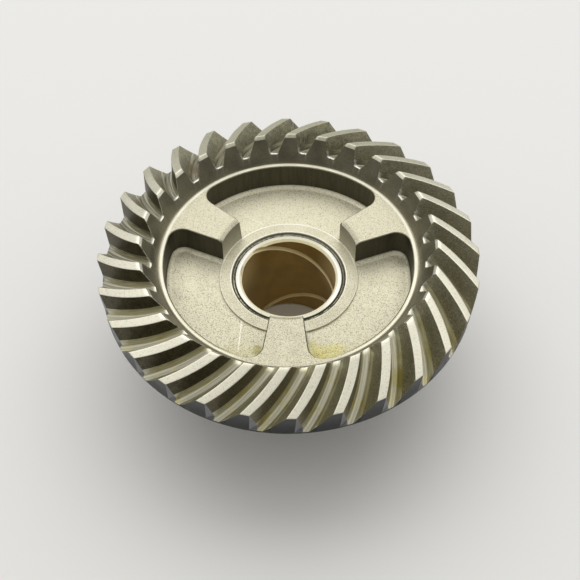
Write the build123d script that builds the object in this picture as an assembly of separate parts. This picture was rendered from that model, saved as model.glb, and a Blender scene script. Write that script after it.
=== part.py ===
from build123d import *
import math
import os

# Spiral bevel gear with three clutch dogs and a bushed bore.
# Millimetres. +Z is the shaft axis and points out of the toothed side.
# The origin is the centre of the hub's bottom face.

# ---- tooth system -------------------------------------------------------
teeth = 28
pinion_teeth = 13
module = 2.5                    # at the large end, measured on the pitch circle
spiral_angle = 35.85            # right hand, at the middle of the face
cutter_radius = 33.1
flank_angle = 21.5              # at the large end
flank_angle_small_end = 17.5
addendum = 1.36                 # at the large end, square to the pitch cone
whole_depth = 4.72              # at the large end
face_cone_angle = 65.7          # half angles, measured from the axis
root_cone_angle = 60.3
root_gap = 1.14                 # floor width of a tooth space at the large end
root_gap_small_end = 1.27
root_corner = 0.29              # flat between floor and flank, along each
tooth_phase = 198.48            # direction of one tooth's middle, degrees

# ---- blank --------------------------------------------------------------
hub_height = 27.0               # bottom face to the plane of the dogs
pitch_height = 0.04             # large end of the pitch cone above that plane
rim_draft = 4.6                 # slant of the outer face, degrees
rim_drop = 5.7                  # height of the outer face
rim_chamfer = 0.5
small_end_radius = 27.57        # where the face cone stops
small_end_chamfer = 0.55
crown_land = 0.3                # flat rim between the pockets' wall and the chamfer
crown_chamfer_width = 0.7
crown_chamfer_drop = 0.25
back_angle = 24.0               # slope of the back under the teeth
shoulder_radius = 22.6
shoulder_land = 2.325           # height of the shoulder's edge under the back
shoulder_chamfer = 0.6
seat_radius = 17.5              # bearing seat on the hub
seat_relief_width = 1.6
seat_relief_depth = 0.3
hub_chamfer = 1.0
web_fillet = 1.2

# ---- clutch dogs and recess --------------------------------------------
dogs = 3
dog_phase = 28.0                # direction of the first dog
dog_inner_width = 6.15          # across the dog at the boss
dog_taper = 8.0                 # slant of each side to the dog's middle line
recess_radius = 23.4
recess_edge = 0.22              # chamfer round the mouth of each pocket
pocket_depth = 5.9
pocket_corner = 2.6             # corner between a dog's side and the outer wall
pocket_fillet = 1.2             # along the foot of the walls
boss_radius = 13.35
boss_step = 0.45                # boss above the pocket floor
dog_nose_width = 0.85           # chamfer on the dog's inner top edge
dog_nose_drop = 0.5

# ---- bore and bush ------------------------------------------------------
bush_radius = 10.5
bore_chamfer = 0.42
bush_bore_radius = 9.0
bush_top_gap = 0.25             # bush end below the boss face
bush_bottom_gap = 0.3           # bush end above the bottom face
bush_inner_chamfer = 0.55
bush_outer_chamfer = 0.22
groove_pitch = 23.0             # axial travel of an oil groove per turn
groove_phase = 145.0            # where the right-hand groove starts at the top
groove_offset = 10.0            # from there to the start of the left-hand one
groove_radius = 0.64            # across the corners of its six-sided section, halved
groove_depth = 0.35
groove_end_margin = 0.5         # groove's end above the bush's bottom face

# ---- sizes that follow --------------------------------------------------
pitch_angle = math.degrees(math.atan2(teeth, pinion_teeth))
pitch_sin = math.sin(math.radians(pitch_angle))
pitch_cos = math.cos(math.radians(pitch_angle))
pitch_radius = module * teeth / 2
outer_distance = pitch_radius / pitch_sin
apex_height = hub_height + pitch_height + outer_distance * pitch_cos
crown_height = hub_height
crown_radius = recess_radius + crown_land + crown_chamfer_width
pocket_height = hub_height - pocket_depth
boss_height = pocket_height + boss_step
face_width = (pitch_radius - small_end_radius) / pitch_sin
mean_distance = outer_distance - face_width / 2


def cone_point(distance, lift):
    """Radius and height of a point `lift` above the pitch cone."""
    radius = distance * pitch_sin + lift * pitch_cos
    height = apex_height - distance * pitch_cos + lift * pitch_sin
    return radius, height


def spiral_at(distance):
    """Spiral angle of the circular-arc tooth trace, in radians."""
    lead = 2 * mean_distance * cutter_radius * math.sin(math.radians(spiral_angle))
    return math.asin((lead - mean_distance**2 + distance**2) / (2 * distance * cutter_radius))


def trace_turn(distance, steps=24):
    """Turn of the tooth trace from the middle of the face, in degrees."""
    step = (distance - mean_distance) / steps
    turn = 0.0
    for i in range(steps):
        middle = mean_distance + (i + 0.5) * step
        turn -= math.tan(spiral_at(middle)) * step / (middle * pitch_sin)
    return math.degrees(turn)


def root_lift(distance):
    """Height of the tooth-space floor above the pitch cone (negative)."""
    closing = math.tan(math.radians(pitch_angle - root_cone_angle))
    return addendum - whole_depth + (outer_distance - distance) * closing


def face_height(radius):
    """Height of the face cone at a radius."""
    tip_radius, tip_height = cone_point(outer_distance, addendum)
    return tip_height + (tip_radius - radius) / math.tan(math.radians(face_cone_angle))


def blank_profile():
    """Half section of the turned blank, from the bore outwards."""
    tip_radius, tip_height = cone_point(outer_distance, addendum)
    rim_foot = tip_radius - rim_drop * math.tan(math.radians(rim_draft))
    rim_low = tip_height - rim_drop
    back_slope = math.tan(math.radians(back_angle))
    back_start = rim_foot - rim_chamfer
    back_end_height = rim_low - rim_chamfer - (back_start - shoulder_radius) * back_slope
    shoulder_height = back_end_height - shoulder_land
    small_end_top = face_height(small_end_radius)
    front_radius = small_end_radius - small_end_chamfer
    relief_radius = seat_radius - seat_relief_depth
    points = [
        (bush_radius, 0),
        (seat_radius - hub_chamfer, 0),
        (seat_radius, hub_chamfer),
        (seat_radius, shoulder_height - seat_relief_width),
        (relief_radius, shoulder_height - seat_relief_width + seat_relief_depth),
        (relief_radius, shoulder_height),
        (shoulder_radius - shoulder_chamfer, shoulder_height),
        (shoulder_radius, shoulder_height + shoulder_chamfer),
        (shoulder_radius, back_end_height),
        (back_start, rim_low - rim_chamfer),
        (rim_foot, rim_low),
        (tip_radius, tip_height),
        (small_end_radius, small_end_top),
        (front_radius, small_end_top - small_end_chamfer),
        (crown_radius, crown_height - crown_chamfer_drop),
        (crown_radius - crown_chamfer_width, crown_height),
        (bush_radius, crown_height),
    ]
    return make_face(Plane.XZ * Polyline(*points, close=True))


def make_blank():
    blank = revolve(blank_profile(), Axis.Z)
    corner = blank.edges().filter_by(GeomType.CIRCLE)
    corner = corner.filter_by(lambda e: abs(e.radius - shoulder_radius) < 0.01)
    return fillet(corner.sort_by(Axis.Z)[-1], web_fillet)


def space_section(distance, overshoot=1.5):
    """Cross-section of a tooth space, square to its own trace.

    Every section stands along one cutter axis, so the floor stays flat across.
    """
    lift = root_lift(distance)
    radius, height = cone_point(distance, lift)
    spiral = spiral_at(distance)
    turn = trace_turn(distance)
    outward = Vector(pitch_sin, 0, -pitch_cos)
    sideways = Vector(0, 1, 0)
    along = (outward * math.cos(spiral) - sideways * math.sin(spiral)).rotate(Axis.Z, turn)
    cutter_axis = Vector(pitch_cos, 0, pitch_sin)
    across = cutter_axis.cross(along)
    origin = Vector(radius, 0, height).rotate(Axis.Z, turn)
    plane = Plane(origin=origin, x_dir=across, z_dir=across.cross(cutter_axis))
    depth = addendum - lift + overshoot
    inward = (outer_distance - distance) / face_width
    angle = flank_angle + (flank_angle_small_end - flank_angle) * inward
    floor = (root_gap + (root_gap_small_end - root_gap) * inward) / 2
    slant = math.radians(angle)
    half = [
        (floor - root_corner, 0),
        (floor + root_corner * math.sin(slant), root_corner * math.cos(slant)),
        (floor + depth * math.tan(slant), depth),
    ]
    other_half = [(-x, y) for x, y in reversed(half)]
    return plane * make_face(Polyline(*other_half, *half, close=True))


def make_space():
    """One tooth space as a solid cutter, longer than the face at both ends."""
    first = outer_distance - face_width - 4.5
    last = outer_distance + 4.0
    count = 7
    stations = [first + (last - first) * i / (count - 1) for i in range(count)]
    return loft([space_section(distance) for distance in stations])


def make_pocket():
    """One pocket between two dogs, with rounded corners and foot."""
    half_dog = dog_inner_width / 2
    taper = math.tan(math.radians(dog_taper))
    half_pitch = 180 / dogs
    annulus = Circle(recess_radius) - Circle(boss_radius)
    far = recess_radius * 1.3
    far_half = half_dog + (far - boss_radius) * taper
    near_half = half_dog - boss_radius * taper
    dog = make_face(Polyline((0, -near_half), (far, -far_half), (far, far_half), (0, near_half), close=True))
    for side in (-half_pitch, half_pitch):
        annulus -= Rot(0, 0, side) * dog
    outline = annulus.faces().sort_by(Axis.X)[-1]
    corners = outline.vertices().filter_by(lambda v: math.hypot(v.X, v.Y) > recess_radius - 0.01)
    outline = outline.fillet_2d(pocket_corner, corners)
    pocket = Pos(0, 0, pocket_height) * extrude(outline, crown_height + 1 - pocket_height)
    foot = pocket.edges().group_by(Axis.Z)[0]
    inner = foot.filter_by(lambda e: e.geom_type == GeomType.CIRCLE and abs(e.radius - boss_radius) < 0.01)
    return fillet([e for e in foot if e not in inner], pocket_fillet)


def make_dog_nose():
    """Chamfer on the inner top edge of every dog, as one turned cutter."""
    points = [
        (boss_radius - 0.5, crown_height - dog_nose_drop),
        (boss_radius, crown_height - dog_nose_drop),
        (boss_radius + dog_nose_width, crown_height),
        (boss_radius + dog_nose_width, crown_height + 1),
        (boss_radius - 0.5, crown_height + 1),
    ]
    return revolve(make_face(Plane.XZ * Polyline(*points, close=True)), Axis.Z)


def make_gear():
    gear = make_blank()
    space = make_space()
    turn = 360 / teeth
    start = tooth_phase + turn / 2
    gear -= [Rot(0, 0, start + turn * i) * space for i in range(teeth)]
    well = Pos(0, 0, boss_height) * Cylinder(boss_radius, 20, align=(Align.CENTER, Align.CENTER, Align.MIN))
    gear -= well
    pocket = make_pocket()
    between = dog_phase + 180 / dogs
    gear -= [Rot(0, 0, between + 360 / dogs * i) * pocket for i in range(dogs)]
    rims = gear.edges().filter_by_position(Axis.Z, crown_height - 0.001, crown_height + 0.001)
    rims = rims.filter_by(lambda e: e.geom_type == GeomType.CIRCLE and abs(e.radius - recess_radius) < 0.01)
    gear = chamfer(rims, recess_edge)
    gear -= make_dog_nose()
    mouths = gear.edges().filter_by(GeomType.CIRCLE)
    mouths = mouths.filter_by(lambda e: abs(e.radius - bush_radius) < 0.01)
    gear = chamfer(mouths, bore_chamfer)
    return gear


def make_groove(lefthand):
    """A helical oil groove that starts above the bush and ends inside it."""
    top = boss_height - bush_top_gap + 0.6
    bottom = bush_bottom_gap + groove_end_margin
    path_radius = bush_bore_radius + groove_depth - groove_radius
    helix = Helix(pitch=groove_pitch, height=top - bottom, radius=path_radius, lefthand=lefthand)
    section = Plane(origin=helix @ 0, z_dir=helix % 0) * RegularPolygon(groove_radius, 6)
    groove = sweep(section, path=helix, is_frenet=True)
    sweep_turn = 360 * (top - bottom) / groove_pitch
    start = groove_phase - sweep_turn
    if lefthand:
        start = groove_phase + groove_offset + sweep_turn
    return Pos(0, 0, bottom) * Rot(0, 0, start) * groove


def make_bush():
    top = boss_height - bush_top_gap
    points = [
        (bush_bore_radius, bush_bottom_gap + bush_inner_chamfer),
        (bush_bore_radius + bush_inner_chamfer, bush_bottom_gap),
        (bush_radius - bush_outer_chamfer, bush_bottom_gap),
        (bush_radius, bush_bottom_gap + bush_outer_chamfer),
        (bush_radius, top - bush_outer_chamfer),
        (bush_radius - bush_outer_chamfer, top),
        (bush_bore_radius + bush_inner_chamfer, top),
        (bush_bore_radius, top - bush_inner_chamfer),
    ]
    bush = revolve(make_face(Plane.XZ * Polyline(*points, close=True)), Axis.Z)
    bush -= make_groove(False)
    bush -= make_groove(True)
    return bush


os.makedirs("parts", exist_ok=True)
pieces = {"bevel_gear": make_gear(), "bore_bush": make_bush()}
for name, piece in pieces.items():
    export_step(piece, f"parts/{name}.step")
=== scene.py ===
import math
from functools import cached_property

import bmesh
import bpy
from bpy.props import FloatProperty, FloatVectorProperty, IntProperty, PointerProperty
from mathutils import Matrix, Vector


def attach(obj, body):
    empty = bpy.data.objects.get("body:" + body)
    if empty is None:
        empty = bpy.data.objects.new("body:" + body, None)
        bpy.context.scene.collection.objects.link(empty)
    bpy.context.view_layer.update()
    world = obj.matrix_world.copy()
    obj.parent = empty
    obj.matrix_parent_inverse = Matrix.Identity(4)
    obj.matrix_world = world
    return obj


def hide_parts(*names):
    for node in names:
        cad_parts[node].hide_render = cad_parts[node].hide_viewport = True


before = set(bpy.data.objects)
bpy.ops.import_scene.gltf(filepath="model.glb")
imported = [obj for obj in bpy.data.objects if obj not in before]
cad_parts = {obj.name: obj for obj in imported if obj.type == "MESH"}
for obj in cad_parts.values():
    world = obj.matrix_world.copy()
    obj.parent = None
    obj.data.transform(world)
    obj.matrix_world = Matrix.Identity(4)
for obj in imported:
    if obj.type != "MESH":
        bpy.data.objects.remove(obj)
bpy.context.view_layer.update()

bl_info = {
    "name": "Spiral Bevel Gear",
    "version": (1, 0, 0),
    "blender": (4, 5, 0),
    "location": "3D View > Sidebar > Gear",
    "description": "Builds a spiral bevel gear with clutch dogs and a bronze-lined bush",
    "category": "Add Mesh",
}

# Shapes are modelled in millimetres and scaled to metres when they are finished.
MM = 0.001
SHAFT = {"cent": (0, 0, 0), "axis": (0, 0, 1)}

# Small forms of the gear, in millimetres.
PITCH_LIFT = 0.04
TOE_CHAMFER = 0.55
HEEL_CHAMFER = 0.95
HEEL_FIRST_ROW = 0.12
HEEL_FIRST_ROW_SPREAD = 0.5
COLLAR_CHAMFER_OUT = 0.05
COLLAR_CHAMFER_IN = 0.25
COLLAR_CHAMFER_DROP = 0.2
RIM_HEIGHT = 5.7
RIM_SLANT = math.radians(4.6)
RIM_BREAK = 0.5
BACK_SLOPE = math.radians(24.0)
WEB_RADIUS = 1.2
BOSS_RISE = 0.45
BORE_MOUTH = 0.5
DOG_CHAMFER_DROP = 0.5
DOG_CHAMFER_REACH = 2.55
# Shoulder, thrust face, undercut, bearing seat, end face and bore, as (radius, height).
HUB_SECTION = [(22.6, 15.0), (22.0, 14.4), (17.2, 14.4), (17.2, 13.1), (17.5, 12.8), (17.5, 1.0),
               (16.5, 0.0), (10.92, 0.0), (10.5, 0.42)]
SEAT_TOP = 13.0
# Heights in the recess that the finishes follow, and how far their near side leans back.
POCKET_FLOOR = 21.1
BOSS_TOP = 21.55
COLLAR_TOP = 27.0
NEAR_SIDE_LEAN = 0.68

# Lines of points on each half of a tooth's tip, and rows of points along it: one near the heel,
# then this many more at equal steps.
TIP_LINES = 3
HEEL_ROW = 0.04
ROWS = 11
# Steps of the round walls in the recess, six for each tooth.
ROUND_STEPS = 168
BUSH_STEPS = 180
# The UV map runs from 0 to this along a tooth space, and by this step from line to line.
UV_LENGTH = 11.0
UV_STEP = 0.5

# Finishes of the gear, in the order of its material slots.
(GROUND, SHADED_FLANK, LIT_FLANK, FLOOR, TURNED, BLASTED, WALL, DOG, LIP, EDGE, MOUTH, RIM, HEEL, BURR,
 BACK, SEAT) = range(16)


# ---- sizes and finishes a user would change ----------------------------------

def length(name, description, millimetres):
    return FloatProperty(name=name, description=description, default=millimetres * MM,
                         min=0.0, unit="LENGTH", precision=5)


def angle(name, description, degrees):
    return FloatProperty(name=name, description=description, default=math.radians(degrees),
                         subtype="ANGLE")


def colour(name, description, value):
    return FloatVectorProperty(name=name, description=description, default=value,
                               subtype="COLOR", size=3, min=0.0, max=1.0)


class GearSizes(bpy.types.PropertyGroup):
    """Sizes of the toothed ring, the recess and the hub."""
    teeth: IntProperty(name="Teeth", description="Teeth on the gear", default=28, min=8)
    pinion_teeth: IntProperty(name="Pinion Teeth", description="Teeth on its mate", default=13,
                              min=6)
    module: length("Module", "Pitch circle diameter over the teeth, at the large end", 2.5)
    spiral_angle: angle("Spiral Angle", "Slant of the teeth at the middle of the face", 35.85)
    cutter_radius: length("Cutter Radius", "Radius of the curved tooth trace", 33.1)
    flank_angle: angle("Flank Angle", "Slant of the flanks at the large end", 21.5)
    flank_angle_small_end: angle("Flank Angle, Small End", "Slant at the small end", 17.5)
    addendum: length("Addendum", "Height of the teeth above the pitch cone", 1.36)
    whole_depth: length("Whole Depth", "Depth of the tooth spaces at the large end", 4.72)
    face_cone: angle("Face Cone", "Half angle of the cone over the tips", 65.7)
    root_cone: angle("Root Cone", "Half angle of the cone under the tooth spaces", 60.3)
    root_gap: length("Root Gap", "Floor width of a tooth space at the large end", 1.14)
    root_gap_small_end: length("Root Gap, Small End", "Floor width at the small end", 1.27)
    root_fillet: length("Root Fillet", "Radius along the foot of the flanks", 0.42)
    tooth_phase: angle("Tooth Phase", "Direction of one tooth's middle", 198.48)
    hub_height: length("Hub Height", "Bottom face to the top of the clutch dogs", 27.0)
    small_end_radius: length("Small End Radius", "Where the tips stop", 27.57)
    collar_radius: length("Collar Radius", "Outer edge of the flat collar round the dogs", 24.4)
    recess_radius: length("Recess Radius", "Outer wall of the pockets", 23.4)
    pocket_depth: length("Pocket Depth", "Collar to pocket floor", 5.9)
    pocket_corner: length("Pocket Corner", "Radius between a dog's side and the outer wall", 2.6)
    pocket_foot: length("Pocket Foot", "Radius along the foot of the pocket walls", 1.2)
    boss_radius: length("Boss Radius", "Flat ring round the bore", 13.25)
    dogs: IntProperty(name="Dogs", description="Clutch dogs in the recess", default=3, min=2)
    dog_phase: angle("Dog Phase", "Direction of the first dog", 28.0)
    dog_inner_width: length("Dog Width", "Across a dog at the boss", 6.15)
    dog_taper: angle("Dog Taper", "Slant of each side to the dog's middle line", 8.0)
    edge_radius: length("Edge Radius", "Worn radius on the tooth edges", 0.13)


class BushSizes(bpy.types.PropertyGroup):
    """Sizes of the bronze-lined bush."""
    outer_radius: length("Outer Radius", "Radius of the gear's bore", 10.5)
    bore_radius: length("Bore Radius", "Radius of the running bore", 9.0)
    top: length("Top", "Height of the upper end above the hub's bottom face", 21.3)
    bottom: length("Bottom", "Height of the lower end above the hub's bottom face", 0.3)
    groove_pitch: length("Groove Pitch", "Axial travel of an oil groove per turn", 23.0)
    groove_depth: length("Groove Depth", "Depth of the oil grooves", 0.35)


class GearFinish(bpy.types.PropertyGroup):
    """Colours of the gear's and the bush's surfaces."""
    ground: colour("Ground Tips", "Ground steel of the tooth tips", (0.92, 0.895, 0.745))
    # Both flank colours are one cut steel: the darker one is painted shade, the paler one painted
    # light.
    shaded_flank: colour("Shaded Flanks", "Cut steel of one flank of each space, darkened as painted shade", (0.098, 0.088, 0.060))
    lit_flank: colour("Lit Flanks", "Cut steel of the other flank of each space, paler as painted light", (0.37, 0.354, 0.258))
    floor: colour("Space Floors", "Cut steel between the teeth", (0.52, 0.50, 0.39))
    turned: colour("Front Cone", "Turned steel inside the teeth", (0.25, 0.235, 0.172))
    blasted: colour("Blasted Steel", "Collar, dogs, pocket floors and boss", (0.66, 0.63, 0.475))
    wall: colour("Pocket Walls", "Dark steel of the upright walls", (0.088, 0.082, 0.055))
    dog: colour("Dog Faces", "Steel of the dogs' inner faces", (0.47, 0.455, 0.37))
    # The recess edge's brightness is partly a painted highlight.
    edge: colour("Recess Edge", "Worn bright edge round the recess, partly a painted highlight", (0.86, 0.835, 0.69))
    # The rim's dark colour is painted shade.
    rim: colour("Rim", "Steel of the rim, darkened as painted shade", (0.085, 0.087, 0.09))
    back: colour("Back", "Dull turned steel behind the teeth", (0.20, 0.195, 0.175))
    seat: colour("Hub", "Ground steel of the hub and its bearing seat", (0.44, 0.425, 0.37))
    oil: colour("Oil", "Yellow oil left in the corners", (0.50, 0.42, 0.08))
    bush: colour("Bush End", "Bright steel shell of the bush", (0.50, 0.49, 0.395))
    lining: colour("Bush Lining", "Oiled bronze of the running bore", (0.36, 0.24, 0.062))


# ---- tooth form ------------------------------------------------------------

def solve(gap, low, high, steps=42):
    """Where a rising function of one number crosses zero."""
    for _ in range(steps):
        middle = (low + high) / 2
        if gap(middle) < 0:
            low = middle
        else:
            high = middle
    return (low + high) / 2


def polar(radius, turn, height):
    return Vector((radius * math.cos(turn), radius * math.sin(turn), height))


def direction(point):
    return math.atan2(point.y, point.x)


class ToothForm:
    """Face-milled spiral bevel tooth space, in millimetres, square to its own trace."""

    def __init__(self, sizes):
        self.pitch = math.atan2(sizes.teeth, sizes.pinion_teeth)
        self.sin, self.cos = math.sin(self.pitch), math.cos(self.pitch)
        self.turn = math.tau / sizes.teeth
        self.addendum = sizes.addendum / MM
        self.whole_depth = sizes.whole_depth / MM
        pitch_radius = sizes.module / MM * sizes.teeth / 2
        collar, top = sizes.collar_radius / MM, sizes.hub_height / MM
        self.outer = pitch_radius / self.sin
        self.apex = top + PITCH_LIFT + self.outer * self.cos
        self.small_radius = sizes.small_end_radius / MM
        self.face_width = (pitch_radius - self.small_radius) / self.sin
        self.mean = self.outer - self.face_width / 2
        self.cutter = sizes.cutter_radius / MM
        self.lead = 2 * self.mean * self.cutter * math.sin(sizes.spiral_angle)
        self.closing = math.tan(self.pitch - sizes.root_cone)
        self.face_slope = 1 / math.tan(sizes.face_cone)
        self.flank = (sizes.flank_angle, sizes.flank_angle_small_end)
        self.gap = (sizes.root_gap / MM, sizes.root_gap_small_end / MM)
        self.fillet = sizes.root_fillet / MM
        self.tip = self.cone_point(self.outer, self.addendum)
        small_height = self.face_height(self.small_radius)
        self.front_corner = (self.small_radius - TOE_CHAMFER, small_height - TOE_CHAMFER)
        self.front_foot = (collar + COLLAR_CHAMFER_OUT, top - COLLAR_CHAMFER_DROP)
        self.collar_edge = (collar - COLLAR_CHAMFER_IN, top)
        self.rim_slope = math.tan(RIM_SLANT)
        self.rim_foot = (self.tip[0] - RIM_HEIGHT * self.rim_slope, self.tip[1] - RIM_HEIGHT)

    def cone_point(self, distance, lift):
        """Radius and height at a distance along the pitch cone and a height above it."""
        return (distance * self.sin + lift * self.cos,
                self.apex - distance * self.cos + lift * self.sin)

    def face_height(self, radius):
        """Height of the cone over the tips."""
        return self.tip[1] + (self.tip[0] - radius) * self.face_slope

    def spiral(self, distance):
        """Slant of the cutter's arc at a distance from the apex."""
        return math.asin((self.lead - self.mean**2 + distance**2) / (2 * distance * self.cutter))

    def trace_turn(self, distance, steps=24):
        """Turn of the tooth trace round the shaft, from the middle of the face."""
        step = (distance - self.mean) / steps
        turn = 0.0
        for i in range(steps):
            middle = self.mean + (i + 0.5) * step
            turn -= math.tan(self.spiral(middle)) * step / (middle * self.sin)
        return turn

    def blend(self, ends, distance):
        """A value between those at the large and the small end."""
        inward = (self.outer - distance) / self.face_width
        return ends[0] + (ends[1] - ends[0]) * inward

    def section_point(self, distance, across, height):
        """A point of the space's section: `across` its middle, `height` above its floor."""
        lift = self.addendum - self.whole_depth + (self.outer - distance) * self.closing
        radius, z = self.cone_point(distance, lift)
        spiral = self.spiral(distance)
        turned = Matrix.Rotation(self.trace_turn(distance), 3, "Z")
        along = turned @ Vector((self.sin * math.cos(spiral), -math.sin(spiral),
                                 -self.cos * math.cos(spiral)))
        cutter_axis = Vector((self.cos, 0.0, self.sin))
        sideways = cutter_axis.cross(along).normalized()
        return turned @ Vector((radius, 0.0, z)) + sideways * across + cutter_axis * height

    def wall_point(self, distance, side, fraction):
        """A point on a flank, from the end of its foot radius (0) to the face cone (1)."""
        slant = self.blend(self.flank, distance)
        half = self.blend(self.gap, distance) / 2
        low = self.fillet * (1 - math.sin(slant))
        tallest = 8.0

        def at(height):
            return self.section_point(distance, side * (half + height * math.tan(slant)), height)

        def above_face(height):
            point = at(height)
            return point.z - self.face_height(point.xy.length)

        high = solve(above_face, 0.0, tallest, 30)
        return at(low + (high - low) * fraction)

    def foot_point(self, distance, side, fraction):
        """A point on the foot radius, from the floor (0) to the flank (1)."""
        slant = self.blend(self.flank, distance)
        half = self.blend(self.gap, distance) / 2
        centre = half - self.fillet * math.tan(math.pi / 4 - slant / 2)
        swing = -math.pi / 2 + (math.pi / 2 - slant) * fraction
        across = centre + self.fillet * math.cos(swing)
        return self.section_point(distance, side * across, self.fillet * (1 + math.sin(swing)))

    def front_gap(self, point):
        """How far a point stands outside the front of the blank."""
        foot, corner = self.front_foot, self.front_corner
        if point.z <= corner[1]:
            rise = (point.z - foot[1]) / (corner[1] - foot[1])
            front = foot[0] + (corner[0] - foot[0]) * rise
        else:
            front = min(corner[0] + (point.z - corner[1]), self.small_radius)
        return point.xy.length - front

    def rim_gap(self, point):
        """How far a point stands outside the slanted rim."""
        return point.xy.length - (self.tip[0] - (self.tip[1] - point.z) * self.rim_slope)


class Column:
    """One line of points along a tooth space, from the rim (0) to the small end (1)."""

    def __init__(self, form, side, kind, fraction):
        self.form, self.side, self.kind, self.fraction = form, side, kind, fraction
        room = 4
        inner = form.outer - form.face_width
        self.heel = solve(lambda d: form.rim_gap(self.at(d)), form.mean, form.outer + room)
        self.toe = solve(lambda d: form.front_gap(self.at(d)), inner - room, form.mean)

    def at(self, distance):
        if self.kind == "wall":
            return self.form.wall_point(distance, self.side, self.fraction)
        return self.form.foot_point(distance, self.side, self.fraction)

    def point(self, along):
        return self.at(self.heel + (self.toe - self.heel) * along)


def flank_corner(form, side):
    """Fraction of a flank's height whose small end lies on the corner of the front chamfer."""
    def past_corner(fraction):
        return Column(form, side, "wall", fraction).point(1.0).xy.length - form.front_corner[0]
    return solve(past_corner, 0.3, 1.0, 24)


def space_columns(form):
    """The lines of one tooth space, in order across it."""
    columns = []
    for side in (-1, 1):
        corner = flank_corner(form, side)
        half = [Column(form, side, "wall", f) for f in (1.0, corner, corner * 0.67, corner * 0.33)]
        half += [Column(form, side, "foot", f) for f in (1.0, 0.66, 0.33, 0.0)]
        columns += half if side < 0 else half[::-1]
    return columns


def column_points(form, column, rows):
    """Points of one line. The large end of one flank is broken by a tapering chamfer."""
    points = [column.point(row) for row in rows]
    if column.side > 0:
        return points
    shift = 1.0 - column.fraction if column.kind == "wall" else column.fraction
    second = HEEL_FIRST_ROW + HEEL_FIRST_ROW_SPREAD * shift
    points[1] = column.point(second / (column.heel - column.toe))
    if shift > 0:
        foot = Column(form, -1, "foot", 0.0).point(0.0)
        base = Column(form, -1, "foot", 1.0).point(0.0)
        radius = foot.xy.length
        corner = polar(radius, direction(base) - HEEL_CHAMFER / radius, foot.z)
        tip = Column(form, -1, "wall", 1.0).point(0.0)
        points[0] = (tip if column.kind == "wall" else foot).lerp(corner, shift)
    return points


def pitch_points(form, rows):
    """All the points of one pitch, from the middle of one tooth's tip to the next."""
    grid = [column_points(form, column, rows) for column in space_columns(form)]

    def tip_line(share):
        line = []
        for low, high in zip(grid[-1], grid[0]):
            radius = low.xy.length + (high.xy.length - low.xy.length) * share
            turn = direction(low) + (direction(high) + form.turn - direction(low)) * share
            line.append(polar(radius, turn, form.face_height(radius)))
        return line

    before = Matrix.Rotation(-form.turn, 3, "Z")
    steps = [i / (2 * TIP_LINES) for i in range(1, TIP_LINES + 1)]
    left = [[before @ point for point in tip_line(1 - share)] for share in reversed(steps)]
    return left + grid + [tip_line(share) for share in steps]


# ---- mesh helpers ----------------------------------------------------------

def new_object(name, data, location=(0, 0, 0), degrees=(0, 0, 0)):
    """Puts a mesh, a lamp or a camera into the scene."""
    thing = bpy.data.objects.new(name, data)
    thing.location = location
    thing.rotation_euler = [math.radians(turn) for turn in degrees]
    bpy.context.scene.collection.objects.link(thing)
    return thing


def new_mesh(name, bm):
    """Turns a bmesh into a mesh."""
    mesh = bpy.data.meshes.new(name)
    bm.to_mesh(mesh)
    bm.free()
    return mesh


def new_piece(name, bm, materials):
    """Scales a finished shape to metres and puts it in the scene at the origin."""
    bmesh.ops.scale(bm, vec=(MM, MM, MM), verts=bm.verts)
    for face in bm.faces:
        face.smooth = True
    piece = new_object(name, new_mesh(name, bm))
    for material in materials:
        piece.data.materials.append(material)
    piece.modifiers.new("Normals", "WEIGHTED_NORMAL").keep_sharp = True
    return piece


def subtract(target, tool):
    """Cuts one bmesh with another and returns the result as a new bmesh."""
    target, tool = (new_object("cut", new_mesh("cut", bm)) for bm in (target, tool))
    cut = target.modifiers.new("Cut", "BOOLEAN")
    cut.operation = "DIFFERENCE"
    cut.solver = "EXACT"
    cut.object = tool
    result = bmesh.new()
    result.from_object(target, bpy.context.evaluated_depsgraph_get())
    for thing in (target, tool):
        mesh = thing.data
        bpy.data.objects.remove(thing)
        bpy.data.meshes.remove(mesh)
    return result


def add_part(bm, part):
    """Adds a second bmesh to the first."""
    mesh = new_mesh("part", part)
    bm.from_mesh(mesh)
    bpy.data.meshes.remove(mesh)


def verts_of(geometry):
    return [item for item in geometry if isinstance(item, bmesh.types.BMVert)]


def merge(bm, distance):
    bmesh.ops.remove_doubles(bm, verts=bm.verts, dist=distance)


def face_outwards(bm):
    bmesh.ops.recalc_face_normals(bm, faces=bm.faces)


def fold(edge):
    """Angle between an edge's two faces, in degrees, or 0 where it hasn't two."""
    return math.degrees(edge.calc_face_angle(0.0)) if edge.is_manifold else 0.0


def spin_round(bm, **settings):
    """Spins everything round the shaft axis."""
    bmesh.ops.spin(bm, geom=bm.verts[:] + bm.edges[:] + bm.faces[:], **SHAFT, **settings)


def repeat_round(bm, count):
    """Repeats everything at equal turns round the shaft axis."""
    spin_round(bm, angle=math.tau / count * (count - 1), steps=count - 1, use_duplicate=True)


def rotate_round(bm, turn):
    bmesh.ops.rotate(bm, cent=SHAFT["cent"], matrix=Matrix.Rotation(turn, 3, "Z"), verts=bm.verts)


def extrude_flat(bm, faces, lift):
    """Makes a solid of flat faces by extruding them straight up or down."""
    made = bmesh.ops.extrude_face_region(bm, geom=faces, use_keep_orig=True)["geom"]
    bmesh.ops.translate(bm, vec=(0, 0, lift), verts=verts_of(made))
    face_outwards(bm)


def extrude_chain(bm, chain, finish, placed):
    """Extrudes a chain of vertices' edges into faces of a finish, each new vertex to its place."""
    edges = [bm.edges.get(pair) for pair in zip(chain, chain[1:])]
    made = bmesh.ops.extrude_edge_only(bm, edges=edges)["geom"]
    for item in made:
        if isinstance(item, bmesh.types.BMFace):
            item.material_index = finish
    loose = verts_of(made)
    fresh = []
    for old in chain:
        vert = min(loose, key=lambda v: (v.co - old.co).length_squared)
        loose.remove(vert)
        fresh.append(vert)
    for vert, place in zip(fresh, placed):
        vert.co = place
    return fresh


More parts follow.
